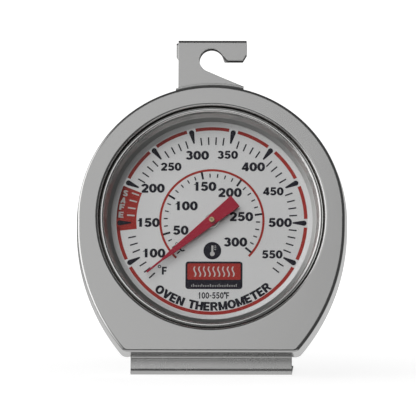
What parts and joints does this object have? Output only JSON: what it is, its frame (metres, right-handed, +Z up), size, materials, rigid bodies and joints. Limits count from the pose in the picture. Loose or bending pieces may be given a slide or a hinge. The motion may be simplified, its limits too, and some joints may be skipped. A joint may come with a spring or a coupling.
{
  "type": "oven thermometer",
  "caption": "Dial oven thermometer in a stamped steel frame with a rack hook and a stand, a glazed dial and a pointer turned by a bimetal coil.",
  "frame": {"origin": "centre of the foot's underside, on the table", "axes": "+Z up, the dial faces -Y and leans back, +X to the right of a person looking at the dial"},
  "size_m": [0.082, 0.0376, 0.0999],
  "materials": {
    "frame_steel": "satin stainless steel sheet",
    "bezel_steel": "polished stainless steel",
    "case_steel": "drawn stainless steel",
    "rivet_steel": "satin",
    "glass": "clear",
    "gasket": "matt, pale fibre",
    "dial": "satin silver with a printed scale",
    "pointer_red": "satin crimson paint",
    "brass": "turned",
    "bimetal": "heat-tinted strip"
  },
  "bodies": {
    "case": {"front_frame": "frame_steel", "rack_hook": "frame_steel", "stand_foot": "frame_steel", "back_plate": "case_steel", "dial_case": "case_steel", "case_rivets": "rivet_steel", "bezel_ring": "bezel_steel", "lens": "glass", "lens_gasket": "gasket", "spacer_ring": "bezel_steel", "dial_plate": "dial", "dial_bushing": "rivet_steel", "bushing_nut": "brass", "bimetal_coil": "bimetal", "coil_anchor": "rivet_steel", "anchor_rivet": "rivet_steel", "rear_bearing": "brass"},
    "pointer_group": {"pointer": "pointer_red", "pointer_hub": "brass", "pointer_shaft": "rivet_steel", "shaft_clip": "rivet_steel", "coil_collet": "brass", "thrust_washer": "brass"}
  },
  "joints": [
    {"name": "pointer_turn", "type": "hinge", "parent": "case", "child": "pointer_group", "pos_m": [0, -0.00485, 0.04611], "axis": [0, 0.9659, -0.2588], "range_deg": [-7.2, 260.8], "stiffness_Nm_per_rad": 0.0003, "deforming": ["bimetal_coil"]}
  ]
}
